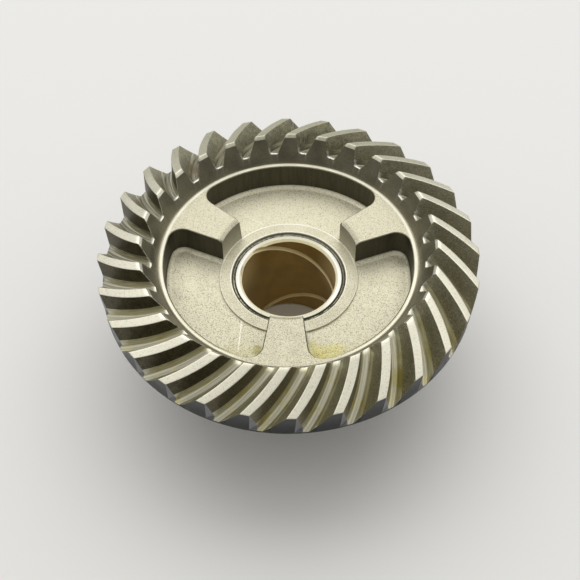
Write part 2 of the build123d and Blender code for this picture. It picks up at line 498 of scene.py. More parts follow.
def ring(chain, radius, height):
    """Places on one circle round the shaft, in the directions of a chain's vertices."""
    return [polar(radius, direction(vert.co), height) for vert in chain]


def arc(centre, radius, start, end, steps):
    """Points of an arc in a half section, as (radius, height) pairs."""
    turns = [start + (end - start) * i / steps for i in range(steps + 1)]
    return [(centre[0] + radius * math.cos(turn), centre[1] + radius * math.sin(turn))
            for turn in turns]


def turned_solid(profile, steps):
    """A closed solid of revolution from a half section of (radius, height) pairs."""
    bm = bmesh.new()
    verts = [bm.verts.new(polar(radius, 0.0, height)) for radius, height in profile]
    for a, b in zip(verts, verts[1:] + verts[:1]):
        if a.co.xy.length > 1e-6 or b.co.xy.length > 1e-6:
            bm.edges.new((a, b))
    spin_round(bm, angle=math.tau, steps=steps, use_merge=True)
    merge(bm, 1e-4)
    face_outwards(bm)
    return bm


# ---- shader helpers --------------------------------------------------------

def shaded(colour, *factors):
    """A colour times one factor, or one each for red, green and blue, kept in range."""
    if len(factors) == 1:
        factors *= 3
    return tuple(min(1.0, part * factor) for part, factor in zip(colour, factors))


class Graph:
    """Adds nodes to a node tree and links them by the names of their sockets."""

    def __init__(self, tree):
        self.tree = tree

    def add(self, kind, inputs=None, **settings):
        node = self.tree.nodes.new(kind)
        for key, value in settings.items():
            setattr(node, key, value)
        self.feed(node, inputs or {})
        return node

    def feed(self, node, inputs):
        """Links a node's inputs to sockets, or sets them to values."""
        for socket, value in inputs.items():
            if isinstance(value, bpy.types.NodeSocket):
                self.tree.links.new(value, node.inputs[socket])
            else:
                node.inputs[socket].default_value = value

    def math(self, operation, a, b=0.0):
        return self.add("ShaderNodeMath", {0: a, 1: b}, operation=operation).outputs[0]

    def times(self, value, *factors):
        for factor in factors:
            value = self.math("MULTIPLY", value, factor)
        return value

    def vector(self, operation, a, b=(0, 0, 0), output="Vector"):
        node = self.add("ShaderNodeVectorMath", {0: a, 1: b}, operation=operation)
        return node.outputs[output]

    def joined(self, x, y, z=0.0):
        return self.add("ShaderNodeCombineXYZ", {0: x, 1: y, 2: z}).outputs[0]

    def split(self, vector):
        return self.add("ShaderNodeSeparateXYZ", {0: vector}).outputs

    def span(self, value, low, high, start=0.0, end=1.0, smooth=True):
        """Maps low..high of a value to start..end, clamped."""
        node = self.add("ShaderNodeMapRange", {"Value": value, "From Min": low, "From Max": high,
                                               "To Min": start, "To Max": end},
                        interpolation_type="SMOOTHSTEP" if smooth else "LINEAR")
        return node.outputs["Result"]

    def band(self, value, low, high, soft):
        """1 between two values, fading over a short way on both sides."""
        return self.times(self.span(value, low - soft, low), self.span(value, high + soft, high))

    def mix(self, factor, a, b, blend="MIX"):
        """Mixes two colours, each a socket or red, green and blue."""
        a, b = (part if isinstance(part, bpy.types.NodeSocket) else (*part, 1.0)
                for part in (a, b))
        node = self.add("ShaderNodeMix", {0: factor, 6: a, 7: b}, data_type="RGBA",
                        blend_type=blend)
        return node.outputs[2]

    def noise(self, vector, scale, detail=2.0, roughness=0.5):
        node = self.add("ShaderNodeTexNoise", {"Vector": vector, "Scale": scale, "Detail": detail,
                                               "Roughness": roughness})
        return node.outputs["Fac"]


def new_group(name, **inputs):
    """A shader node group with named inputs: its graph, and the sockets to draw from."""
    tree = bpy.data.node_groups.new(name, "ShaderNodeTree")
    for socket, default in inputs.items():
        kind = "NodeSocketVector" if isinstance(default, tuple) else "NodeSocketFloat"
        made = tree.interface.new_socket(socket, in_out="INPUT", socket_type=kind)
        made.default_value = default
    graph = Graph(tree)
    return graph, graph.add("NodeGroupInput").outputs


def close_group(graph, **outputs):
    """Gives a node group its named outputs."""
    for socket in outputs:
        graph.tree.interface.new_socket(socket, in_out="OUTPUT", socket_type="NodeSocketFloat")
    graph.add("NodeGroupOutput", outputs)
    return graph.tree


def grain_group(name):
    """Fine blasted or etched grain: dark pits, pale glints, soft clouds and a height."""
    graph, given = new_group(name, Vector=(0, 0, 0), Size=0.25)
    scale = graph.math("DIVIDE", 1000.0, given["Size"])
    fine = graph.noise(given["Vector"], scale, 2.0, 0.6)
    wide = graph.noise(given["Vector"], graph.times(scale, 0.07), 4.0, 0.6)
    return close_group(graph, Pits=graph.span(fine, 0.50, 0.30), Height=fine,
                       Glints=graph.span(fine, 0.52, 0.72), Clouds=graph.span(wide, 0.32, 0.68))


def spot_group(name):
    """A soft stain round a point, with a ragged edge."""
    graph, given = new_group(name, Vector=(0, 0, 0), Centre=(0, 0, 0), Radius=0.002, Ragged=0.5)
    distance = graph.vector("DISTANCE", given["Vector"], given["Centre"], "Value")
    share = graph.math("DIVIDE", distance, given["Radius"])
    noise = graph.noise(given["Vector"], 700.0, 4.0, 0.7)
    push = graph.times(graph.math("SUBTRACT", noise, 0.5), given["Ragged"], 3.0)
    return close_group(graph, Mask=graph.span(graph.math("ADD", share, push), 1.15, 0.35))


def scratch_group(name):
    """A thin straight line between two points, broken up along its length."""
    graph, given = new_group(name, Vector=(0, 0, 0), Start=(0, 0, 0), End=(0, 0, 0), Width=0.0001)
    line = graph.vector("SUBTRACT", given["End"], given["Start"])
    reach = graph.vector("SUBTRACT", given["Vector"], given["Start"])
    share = graph.math("DIVIDE", graph.vector("DOT_PRODUCT", reach, line, "Value"),
                       graph.vector("DOT_PRODUCT", line, line, "Value"))
    share = graph.span(share, 0.0, 1.0, smooth=False)
    foot = graph.add("ShaderNodeVectorMath", {0: line, "Scale": share}, operation="SCALE")
    away = graph.vector("DISTANCE", reach, foot.outputs["Vector"], "Value")
    mask = graph.span(graph.math("DIVIDE", away, given["Width"]), 1.0, 0.3)
    broken = graph.span(graph.noise(given["Vector"], 2600.0), 0.36, 0.56, 0.25, 1.0)
    return close_group(graph, Mask=graph.times(mask, broken))


def marks_group(name):
    """Cutter marks: fine parallel lines at one spacing along a coordinate."""
    graph, given = new_group(name, Across=0.0, Along=0.0, Lines=1.0)
    where = graph.joined(graph.times(given["Across"], given["Lines"]),
                         graph.times(given["Along"], 0.12))
    marks = graph.noise(where, 1.0, 3.0, 0.6)
    return close_group(graph, Mask=graph.span(marks, 0.42, 0.62), Height=marks)


GROUPS = {"Steel grain": grain_group, "Oil spot": spot_group, "Scratch": scratch_group,
          "Cutter marks": marks_group}


class Finish:
    """One material: its graph, the places its masks are made of, and the tone painted so far."""

    def __init__(self, name, tone, metallic=1.0):
        self.material = bpy.data.materials.new(name)
        self.material.use_nodes = True
        self.graph = Graph(self.material.node_tree)
        self.tone, self.metallic = tone, metallic
        self.place = self.graph.add("ShaderNodeTexCoord").outputs["Object"]
        self.x, self.y, self.z = self.graph.split(self.place)

    @cached_property
    def radius(self):
        """Distance from the shaft axis, in millimetres."""
        flat = self.graph.joined(self.x, self.y)
        return self.graph.times(self.graph.vector("LENGTH", flat, output="Value"), 1000.0)

    @cached_property
    def height(self):
        """Height in millimetres."""
        return self.graph.times(self.z, 1000.0)

    @cached_property
    def tooth(self):
        """Where a point lies along (X) and across (Y) a tooth space, from the UV map."""
        return self.graph.split(self.graph.add("ShaderNodeUVMap", uv_map="Along tooth").outputs[0])

    def near_side(self, start, end):
        """Rises from 0 to 1 between two places along Y, in millimetres.

        They are places on the pocket floors, and above those they shift towards -Y.
        """
        lift = self.graph.math("SUBTRACT", self.z, POCKET_FLOOR * MM)
        place = self.graph.math("ADD", self.y, self.graph.times(lift, NEAR_SIDE_LEAN))
        return self.graph.span(place, start * MM, end * MM)

    def aside(self, start, end):
        """Rises from 0 to 1 between two distances from the middle plane, in millimetres."""
        return self.graph.span(self.graph.math("ABSOLUTE", self.x), start * MM, end * MM)

    def cloud(self, scale, low, high, start=0.0, end=1.0, detail=3.0, roughness=0.5):
        """Soft patches of noise over the whole piece."""
        noise = self.graph.noise(self.place, scale, detail, roughness)
        return self.graph.span(noise, low, high, start, end)

    def group(self, name, **inputs):
        """Outputs of a shader group, which is made when it is first asked for."""
        tree = bpy.data.node_groups.get(name) or GROUPS[name](name)
        return self.graph.add("ShaderNodeGroup", inputs, node_tree=tree).outputs

    def grain(self, size):
        return self.group("Steel grain", Vector=self.place, Size=size)

    def slots(self, lines):
        """Cutter marks along the teeth."""
        return self.group("Cutter marks", Across=self.tooth["Y"], Along=self.tooth["X"],
                          Lines=lines)

    def turned(self, lines):
        """Lathe marks round the shaft axis."""
        across = self.graph.math("ADD", self.radius, self.height)
        return self.group("Cutter marks", Across=across, Along=0.0, Lines=lines)

    def paint(self, colour, *masks):
        """Lays a colour over the tone, where all the masks meet."""
        self.tone = self.graph.mix(self.graph.times(*masks), self.tone, colour)

    def stain(self, stains):
        """Paints oil stains, given as rows of a table below."""
        for centre, radius, ragged, strength, tint in stains:
            centre = tuple(value * MM for value in centre)
            mask = self.group("Oil spot", Vector=self.place, Centre=centre, Radius=radius * MM,
                              Ragged=ragged)["Mask"]
            self.paint(tint, mask, strength)

    def scratch(self, scratches, height, tint):
        """Paints straight scratches on a flat floor, given as rows of a table below."""
        for start, end, width, strength in scratches:
            start, end = ((x * MM, y * MM, height * MM) for x, y in (start, end))
            mask = self.group("Scratch", Vector=self.place, Start=start, End=end,
                              Width=width * MM)["Mask"]
            self.paint(tint, mask, strength)

    def finish(self, roughness, height, depth, strength):
        """Gives the tone, a roughness and a bump of some depth in millimetres to the shader."""
        bump = self.graph.add("ShaderNodeBump", {"Height": height, "Distance": depth * MM,
                                                 "Strength": strength})
        self.graph.feed(self.material.node_tree.nodes["Principled BSDF"], {
            "Base Color": self.tone, "Metallic": self.metallic, "Roughness": roughness,
            "Normal": bump.outputs["Normal"]})
        return self.material


# ---- finishes of the gear and the bush ---------------------------------------

# Oil stains: middle and radius in millimetres, raggedness, strength and colour.
RECESS_STAINS = (
    ((-5.7, -16.7, 21.3), 1.3, 0.6, 0.8, (0.34, 0.30, 0.07)),
    ((5.2, -17.4, 21.3), 2.0, 0.4, 0.75, (0.62, 0.55, 0.16)),
    ((8.3, -17.3, 21.3), 2.3, 0.4, 0.65, (0.66, 0.60, 0.21)),
    ((4.2, -15.4, 21.3), 1.3, 0.5, 0.55, (0.54, 0.49, 0.17)),
    ((23.0, 3.5, 21.6), 2.2, 0.6, 0.55, (0.22, 0.21, 0.12)),
    ((22.3, 8.0, 21.6), 2.2, 0.6, 0.4, (0.22, 0.21, 0.12)),
    ((-21.5, -3.5, 21.5), 2.6, 0.6, 0.3, (0.36, 0.33, 0.24)),
)
SPACE_STAINS = (
    ((9.0, 27.0, 26.5), 2.2, 0.4, 0.7, (0.50, 0.45, 0.20)),
    ((-19.0, 23.5, 26.0), 2.6, 0.4, 0.6, (0.28, 0.21, 0.10)),
    ((19.5, -26.0, 25.5), 2.6, 0.4, 0.7, (0.42, 0.36, 0.10)),
    ((27.6, -18.0, 25.5), 2.0, 0.4, 0.7, (0.40, 0.33, 0.10)),
)
# Scratches on the pocket floors: both ends and the width in millimetres, and the strength.
SCRATCHES = (
    ((-12.6, 18.3), (-5.1, 13.4), 0.17, 0.9),
    ((-8.8, -10.1), (-9.4, -16.9), 0.18, 0.85),
    ((-20.4, -2.0), (-19.2, -6.6), 0.10, 0.45),
    ((-21.4, -2.6), (-20.0, -7.6), 0.09, 0.4),
    ((-18.6, -7.2), (-16.9, -10.9), 0.09, 0.35),
)

BRIGHT_SCRATCH = (0.92, 0.89, 0.76)
PAINTED_FOOT_HIGHLIGHT = (0.95, 0.93, 0.85)
PAINTED_BOSS_HIGHLIGHT = (0.95, 0.92, 0.80)
PAINTED_COLLAR_HIGHLIGHT = (0.91, 0.88, 0.69)
PAINTED_COLLAR_SHADE = (0.24, 0.23, 0.12)
LIP_STEEL = (0.34, 0.32, 0.24)
LIP_FRONT = (0.58, 0.55, 0.36)
BURR_STEEL = (0.95, 0.93, 0.86)
BURR_GAPS = (0.24, 0.23, 0.17)
HEEL_STEEL = (0.26, 0.26, 0.27)
PAINTED_FLOOR_HIGHLIGHT = (0.86, 0.84, 0.66)
FLOOR_LIP = (0.78, 0.76, 0.66)
MOUTH_SHADE = (0.085, 0.083, 0.058)
MOUTH_GREY = (0.26, 0.25, 0.19)
TOOL_MARKS = (0.92, 0.90, 0.80)
BUSH_RIM = (1.0, 0.88, 0.54)
LIT_GROOVE = (0.86, 0.72, 0.40)


def blasted_finish(name, finish):
    """Pale blasted steel with dark pits, yellowed where oil has crept out of the corners, with
    painted light, shade and highlights in the recess.
    """
    colour = finish.blasted
    f = Finish(name, shaded(colour, 0.94), metallic=0.4)
    g = f.graph
    grain = f.grain(0.175)
    f.paint(shaded(colour, 1.05), grain["Clouds"])
    # Oil wash on the near floors, a duller boss and near dogs, and painted light on the far
    # floors.
    f.paint(shaded(colour, 0.88, 0.86, 0.58), f.near_side(-14.0, -18.5),
            f.cloud(260.0, 0.25, 0.65, 0.45, 0.95))
    boss = g.band(f.height, BOSS_TOP - 0.05, BOSS_TOP + 0.05, 0.05)
    raised = g.span(f.height, COLLAR_TOP - 0.5, COLLAR_TOP - 0.2)
    dog = g.times(raised, f.near_side(-4.0, -9.0))
    f.paint(shaded(colour, 0.9), g.math("MAXIMUM", boss, dog))
    f.paint(shaded(colour, 1.45), g.span(f.height, POCKET_FLOOR + 0.7, POCKET_FLOOR + 0.3),
            g.span(f.radius, 14.0, 22.0, 0.45, 1.0), f.near_side(-12.0, 6.0))
    f.stain(RECESS_STAINS)
    f.paint(shaded(colour, 0.30, 0.28, 0.21), grain["Pits"],
            g.span(f.y, 0.010, -0.012, 0.72, 1.0))
    f.paint(shaded(colour, 1.3), grain["Glints"], 0.5)
    f.scratch(SCRATCHES, POCKET_FLOOR, BRIGHT_SCRATCH)
    # Painted highlight: bright dots along the foot of the walls.
    f.paint(PAINTED_FOOT_HIGHLIGHT, g.band(f.height, 21.34, 21.46, 0.04),
            f.cloud(1500.0, 0.38, 0.58, detail=2.0), g.span(f.radius, 13.4, 13.6))
    # Worn edge of the collar, partly a painted highlight, away from the near side; on the near
    # side a line of painted shade at its inner edge and a painted highlight line on its top.
    top = g.span(f.height, COLLAR_TOP - 0.4, COLLAR_TOP - 0.2)
    f.paint(finish.edge, g.span(f.radius, 23.5, 23.66), top, f.near_side(-14.0, 0.0))
    around = g.times(top, f.near_side(2.0, -5.0), f.aside(6.0, 13.0))
    f.paint(PAINTED_COLLAR_SHADE, around, g.band(f.radius, 23.46, 23.58, 0.07), 0.75)
    f.paint(PAINTED_COLLAR_HIGHLIGHT, around, g.band(f.radius, 23.88, 24.06, 0.10), 0.85)
    # Painted highlight: a bright ring round the boss on the far side.
    f.paint(PAINTED_BOSS_HIGHLIGHT, g.band(f.radius, 12.92, 13.10, 0.05), f.near_side(0.0, 5.0),
            g.span(f.height, 21.4, 21.5))
    return f.finish(g.span(grain["Clouds"], 0.0, 1.0, 0.44, 0.54), grain["Height"], 0.03, 0.6)


def wall_finish(name, colour, low=1.0, high=1.0, streak=0.22, near=1.0):
    """Upright wall with faint streaks, a tone that changes with height, and, if asked, painted
    shade on the near side.
    """
    f = Finish(name, shaded(colour, 1 - streak), metallic=0.8)
    g = f.graph
    grain = f.grain(0.25)
    streaks = g.noise(g.joined(f.x, f.y, g.times(f.z, 0.08)), 1700.0, 3.0, 0.6)
    f.paint(shaded(colour, 1 + streak), g.span(streaks, 0.32, 0.68))
    if near < 1:
        # Painted shade on the near side, leaving a paler lip at its front.
        front = g.times(g.span(f.radius, 22.6, 23.2), f.aside(13.0, 7.0))
        f.paint(shaded(colour, near), f.near_side(4.0, -6.0), g.math("SUBTRACT", 1.0, front))
        f.paint(LIP_FRONT, front, f.near_side(-4.0, -12.0))
    lift = g.span(f.z, 0.0215, 0.0268, low, high)
    grey = g.add("ShaderNodeCombineColor", {0: lift, 1: lift, 2: lift}).outputs[0]
    f.tone = g.mix(1.0, f.tone, grey, "MULTIPLY")
    f.paint(shaded(colour, 0.45), grain["Pits"], 0.5)
    return f.finish(g.span(streaks, 0.3, 0.7, 0.44, 0.56), streaks, 0.02, 0.5)


def ground_finish(name, colour, dots=False):
    """Bright ground steel with a faint lengthwise grain, dotted where it is a burr, otherwise with
    painted shade on the far side.
    """
    f = Finish(name, shaded(colour, 0.90))
    g = f.graph
    grain = f.grain(0.3)
    marks = f.slots(9.0)
    far = g.span(f.y, 0.012, 0.030)
    f.paint(colour, marks["Mask"])
    f.tone = g.mix(grain["Clouds"], shaded(colour, 0.88), f.tone)
    if dots:
        broken = f.cloud(1700.0, 0.36, 0.50, detail=2.0)
        f.tone = g.mix(broken, BURR_GAPS, f.tone)
    else:
        # Painted shade: darker, yellower tips on the far side.
        f.paint(shaded(colour, 0.62, 0.63, 0.55), far, 0.75)
    f.paint(shaded(colour, 0.45), grain["Pits"], g.span(far, 0.0, 1.0, 0.40, 0.60))
    return f.finish(g.span(marks["Mask"], 0.0, 1.0, 0.44, 0.36), grain["Height"], 0.010, 0.4)


def edge_finish(name, finish):
    """Worn edges of the recess: bright, partly as a painted highlight, with painted shade on the
    near side.
    """
    colour = finish.edge
    f = Finish(name, shaded(colour, 0.92), metallic=0.6)
    g = f.graph
    grain = f.grain(0.3)
    f.paint(shaded(colour, 1.05), grain["Clouds"])
    # Painted shade: duller on the near side, and darker outside the collar's edge there.
    f.paint(shaded(finish.blasted, 1.0, 0.97, 0.85), f.near_side(0.0, -14.0), 0.5)
    f.paint(finish.turned, g.span(f.radius, 24.12, 24.34), f.near_side(4.0, -6.0))
    f.paint(shaded(colour, 0.5), grain["Pits"], 0.4)
    return f.finish(g.span(grain["Clouds"], 0.0, 1.0, 0.36, 0.46), grain["Height"], 0.01, 0.4)


def flank_finish(name, colour, right=1.0):
    """Oiled flank with an olive mottle, paler towards +X by the factor right, as painted light."""
    f = Finish(name, shaded(colour, 0.74))
    g = f.graph
    grain = f.grain(0.28)
    mottle = g.noise(f.place, 900.0, 4.0, 0.7)
    f.paint(shaded(colour, 1.3, 1.28, 1.15), g.span(mottle, 0.35, 0.65))
    turn = g.math("SUBTRACT", f.x, g.times(f.y, 0.4))
    # Painted light: paler towards +X.
    f.paint(shaded(colour, right), g.span(turn, -0.008, 0.011))
    f.paint(shaded(colour, 0.4), grain["Pits"], 0.55)
    f.paint(shaded(colour, 1.9), grain["Glints"], 0.65)
    return f.finish(g.span(mottle, 0.3, 0.7, 0.42, 0.56), grain["Height"], 0.012, 0.5)


def floor_finish(name, finish):
    """Floor of a tooth space: cutter marks, a painted highlight in the near spaces, bright at the
    small end, oily in the near spaces.
    """
    colour = finish.floor
    f = Finish(name, shaded(colour, 0.5))
    g = f.graph
    marks = f.slots(2.6)
    f.paint(shaded(colour, 1.4), marks["Mask"])
    # Painted highlight on the floors of the near spaces.
    f.paint(PAINTED_FLOOR_HIGHLIGHT, g.span(f.y, 0.004, -0.012), 0.45)
    wet = g.times(g.span(f.y, -0.006, -0.026), f.cloud(330.0, 0.50, 0.66), 0.6)
    f.paint(shaded(finish.oil, 1.05, 1.1, 2.4), wet)
    f.stain(SPACE_STAINS)
    f.paint(FLOOR_LIP, g.span(f.tooth["X"], UV_LENGTH - 0.65, UV_LENGTH - 0.2),
            g.span(f.y, -0.014, -0.004), 0.75)
    return f.finish(g.span(wet, 0.0, 0.5, 0.44, 0.28), marks["Height"], 0.03, 0.6)


def turned_finish(name, colour, lines=2.2, contrast=0.12, roughness=0.45, shade=0.0):
    """Turned steel with faint lathe marks and a soft mottle, with painted shade lower down if
    asked.
    """
    f = Finish(name, shaded(colour, 0.85))
    g = f.graph
    grain = f.grain(0.3)
    marks = f.turned(lines)
    f.paint(shaded(colour, 1.12), grain["Clouds"])
    f.paint(shaded(colour, 1.8), marks["Mask"], contrast)
    f.paint(shaded(colour, 0.5), grain["Pits"], 0.4)
    if shade:
        # Painted shadow, darker towards the bottom.
        f.paint(shaded(colour, 0.25), g.span(f.z, 0.0285, 0.0235), shade)
    rough = g.span(grain["Clouds"], 0.0, 1.0, roughness, roughness + 0.08)
    return f.finish(rough, marks["Height"], 0.01, 0.35)


def mouth_finish(name):
    """Chamfers at the mouth of the bore: painted shade in their V, greyer outwards, with a ring of
    short bright tool marks.
    """
    f = Finish(name, MOUTH_SHADE)
    g = f.graph
    turn = g.math("ARCTAN2", f.y, f.x)
    where = g.joined(g.times(turn, 26.0), f.radius)
    chatter = g.span(g.noise(where, 1.0, 2.0, 0.6), 0.36, 0.56)
    f.paint(MOUTH_GREY, g.span(f.radius, 10.55, 10.9))
    f.paint(TOOL_MARKS, g.band(f.radius, 10.42, 10.60, 0.06), chatter,
            f.cloud(150.0, 0.36, 0.60, 0.5, 1.0))
    return f.finish(g.span(chatter, 0.0, 1.0, 0.34, 0.5), chatter, 0.03, 0.5)


def lining_finish(name, colour, metallic=1.0, contrast=0.10, roughness=0.30):
    """Oiled bronze with faint streaks round the bore, and a painted sheen towards the mouth at its
    sides.
    """
    f = Finish(name, shaded(colour, 1 - 1.8 * contrast), metallic)
    g = f.graph
    grain = f.grain(0.5)
    marks = f.turned(1.5)
    patch = f.cloud(180.0, 0.35, 0.65, roughness=0.6)
    f.paint(shaded(colour, 1 + 1.2 * contrast), patch)
    # Painted sheen at the sides, high in the bore.
    f.paint(shaded(colour, 3.0, 3.45, 7.2), f.aside(5.0, 8.8), g.span(f.height, 8.0, 18.0),
            contrast * 9)
    f.paint(shaded(colour, 1.5), marks["Mask"], contrast)
    rough = g.span(patch, 0.0, 1.0, roughness, roughness + 0.08)
    return f.finish(rough, grain["Height"], 0.004, 0.3)


def gear_materials(finish):
    """The gear's materials, in the order of its slots."""
    return [
        ground_finish("Ground tips", finish.ground),
        flank_finish("Flanks in painted shade", finish.shaded_flank, right=2.6),
        flank_finish("Flanks in painted light", finish.lit_flank, right=1.1),
        floor_finish("Space floors", finish),
        turned_finish("Front cone", finish.turned),
        blasted_finish("Blasted steel", finish),
        wall_finish("Pocket walls", finish.wall),
        wall_finish("Dog faces", finish.dog, low=1.15, high=0.85, streak=0.06),
        wall_finish("Pocket lips", LIP_STEEL, streak=0.1, near=0.16),
        edge_finish("Recess edge", finish),
        mouth_finish("Bore mouth"),
        turned_finish("Rim", finish.rim, 1.4, contrast=0.25, roughness=0.40, shade=0.7),
        turned_finish("Heel chamfers", HEEL_STEEL, 3.0, contrast=0.1, roughness=0.4),
        ground_finish("Bright edges", BURR_STEEL, dots=True),
        turned_finish("Back", finish.back, 1.6, contrast=0.22, roughness=0.46),
        turned_finish("Hub", finish.seat, 7.0, contrast=0.16, roughness=0.32),
    ]


def bush_materials(finish):
    """The bush's materials, in the order of its slots."""
    lining = finish.lining
    return [
        lining_finish("Bush shell", finish.bush, contrast=0.04, roughness=0.42),
        lining_finish("Bush rim", BUSH_RIM, metallic=0.0, contrast=0.03),
        lining_finish("Bush lining", lining, metallic=0.5, contrast=0.08),
        lining_finish("Oil groove, lit side", LIT_GROOVE, metallic=0.0, contrast=0.04),
        lining_finish("Oil groove, dark side", shaded(lining, 0.5), contrast=0.04),
        mouth_finish("Bush mouth"),
    ]


# ---- bevel gear ------------------------------------------------------------

def back_section(form):
    """Half section of the back and the hub, from the foot of the rim to the mouth of the bore."""
    radius, height = form.rim_foot
    start = (radius - RIM_BREAK, height - RIM_BREAK)
    shoulder = HUB_SECTION[0][0]
    end_height = start[1] - (start[0] - shoulder) * math.tan(BACK_SLOPE)
    tangent = WEB_RADIUS * math.tan((math.pi / 2 - BACK_SLOPE) / 2)
    centre = (shoulder + WEB_RADIUS, end_height - tangent)
    web = arc(centre, WEB_RADIUS, math.pi / 2 + BACK_SLOPE, math.pi, 5)
    return [start] + web + HUB_SECTION


def toothed_face(bm, points):
    """The faces of one pitch of teeth, with their finishes and UV map, as columns of vertices."""
    columns, rows = len(points), len(points[0])
    middle = columns // 2
    uv = bm.loops.layers.uv.new("Along tooth")
    bmesh.ops.create_grid(bm, x_segments=columns - 1, y_segments=rows - 1, size=1.0)
    grid = [[None] * rows for _ in range(columns)]
    spot = {}
    for vert in bm.verts:
        column = round((vert.co.x + 1) / 2 * (columns - 1))
        row = round((vert.co.y + 1) / 2 * (rows - 1))
        grid[column][row] = vert
        spot[vert] = (column, row)
        vert.co = points[column][row]
    for face in bm.faces:
        low = min(spot[vert][0] for vert in face.verts)
        at_rim = min(spot[vert][1] for vert in face.verts) == 0
        if low < TIP_LINES or low > columns - 2 - TIP_LINES:
            face.material_index = GROUND
        elif low < middle - 1 and at_rim:
            face.material_index = HEEL
        elif abs(low + 1 - middle) <= 4:
            face.material_index = FLOOR
        else:
            # The two flanks of each space take the painted-shade and painted-light copies of one
            # steel.
            face.material_index = SHADED_FLANK if low < middle - 1 else LIT_FLANK
        for loop in face.loops:
            column, row = spot[loop.vert]
            loop[uv].uv = (row / (rows - 1) * UV_LENGTH, (column - (columns - 1) / 2) * UV_STEP)
    return grid


def toothed_ring(form, rows):
    """One pitch of the teeth with the front, the rim, the back and the hub."""
    bm = bmesh.new()
    grid = toothed_face(bm, pitch_points(form, rows))
    toe = [column[-1] for column in grid]
    heel = [column[0] for column in grid]

    # Facets at the small end of each tip, down to the corner of the front chamfer.
    half = TIP_LINES + 1
    left_corner, right_corner = toe[half], toe[-half - 1]
    left = extrude_chain(bm, toe[:half], GROUND, ring(toe[:half - 1], *form.front_corner) +
                         [left_corner.co.copy()])
    right = extrude_chain(bm, toe[-half:], GROUND, [right_corner.co.copy()] +
                          ring(toe[-half + 1:], *form.front_corner))
    bmesh.ops.weld_verts(bm, targetmap={left[-1]: left_corner, right[0]: right_corner})

    # Front cone and the collar's chamfer, in the directions of the small end's points.
    toe = left[:-1] + toe[half:-half] + right[1:]
    chain = extrude_chain(bm, toe, TURNED, ring(toe, *form.front_foot))
    extrude_chain(bm, chain, EDGE, ring(toe, *form.collar_edge))

    # Rim, with its lower points spread evenly under the heel chamfer, then the back and the hub.
    corner = TIP_LINES + 4
    start, end = direction(heel[0].co), direction(heel[corner].co)
    turns = [start + (end - start) * i / corner for i in range(corner)]
    turns += [direction(vert.co) for vert in heel[corner:]]
    radius, height = form.rim_foot
    chain = extrude_chain(bm, heel, RIM, [polar(radius, turn, height) for turn in turns])
    for radius, height in back_section(form):
        finish = SEAT if height < SEAT_TOP else BACK
        chain = extrude_chain(bm, chain, finish, ring(chain, radius, height))
    return bm


def boss_top(sizes):
    return sizes.hub_height / MM - sizes.pocket_depth / MM + BOSS_RISE


def pocket_outline(bm, sizes):
    """Closed outline of one pocket, its middle on +X, as a face at the pocket floor."""
    recess = sizes.recess_radius / MM
    corner = sizes.pocket_corner / MM
    boss = sizes.boss_radius / MM
    taper = sizes.dog_taper
    reach = corner + (sizes.dog_inner_width / MM / 2 - boss * math.tan(taper)) * math.cos(taper)
    off_dog = taper + math.asin(reach / (recess - corner))
    dog_middle = math.pi / sizes.dogs
    height = (sizes.hub_height - sizes.pocket_depth) / MM
    centre = polar(recess - corner, dog_middle - off_dog, height)
    side = dog_middle - taper
    normal = Vector((-math.sin(side), math.cos(side), 0.0))
    touch = centre + normal * corner
    inward = Vector((-math.cos(side), -math.sin(side), 0.0))
    into_boss = 9.5
    inner = bm.verts.new(touch + inward * into_boss)
    tangent = bm.verts.new(touch)
    bm.edges.new((inner, tangent))
    made = bmesh.ops.spin(bm, geom=[tangent], cent=centre, axis=(0, 0, 1),
                          angle=direction(centre) - direction(normal), steps=10)
    bmesh.ops.spin(bm, geom=verts_of(made["geom_last"]), **SHAFT, angle=-direction(centre),
                   steps=14)
    bmesh.ops.mirror(bm, geom=bm.verts[:] + bm.edges[:], axis="Y", merge_dist=1e-4)
    merge(bm, 1e-4)
    bm.edges.new([v for v in bm.verts if len(v.link_edges) == 1])
    return bmesh.ops.contextual_create(bm, geom=bm.edges[:])["faces"]


def pocket_cutters(sizes, boss_height):
    """The pockets between the dogs, with a rounded foot, as one cutter."""
    bm = bmesh.new()
    over = 1.0
    extrude_flat(bm, pocket_outline(bm, sizes), sizes.pocket_depth / MM + over)
    low = min(v.co.z for v in bm.verts)
    foot = [e for e in bm.edges if all(abs(v.co.z - low) < 1e-4 for v in e.verts)]
    foot.remove(max(foot, key=lambda e: e.calc_length()))
    bmesh.ops.bevel(bm, geom=foot, offset=sizes.pocket_foot / MM, segments=6, profile=0.5,
                    affect="EDGES", material=-1, clamp_overlap=False)
    rotate_round(bm, sizes.dog_phase + math.pi / sizes.dogs)
    repeat_round(bm, sizes.dogs)
    boss, under = sizes.boss_radius / MM, 20.0
    return subtract(bm, turned_solid([(0, under), (boss, under), (boss, boss_height),
                                      (0, boss_height)], ROUND_STEPS))


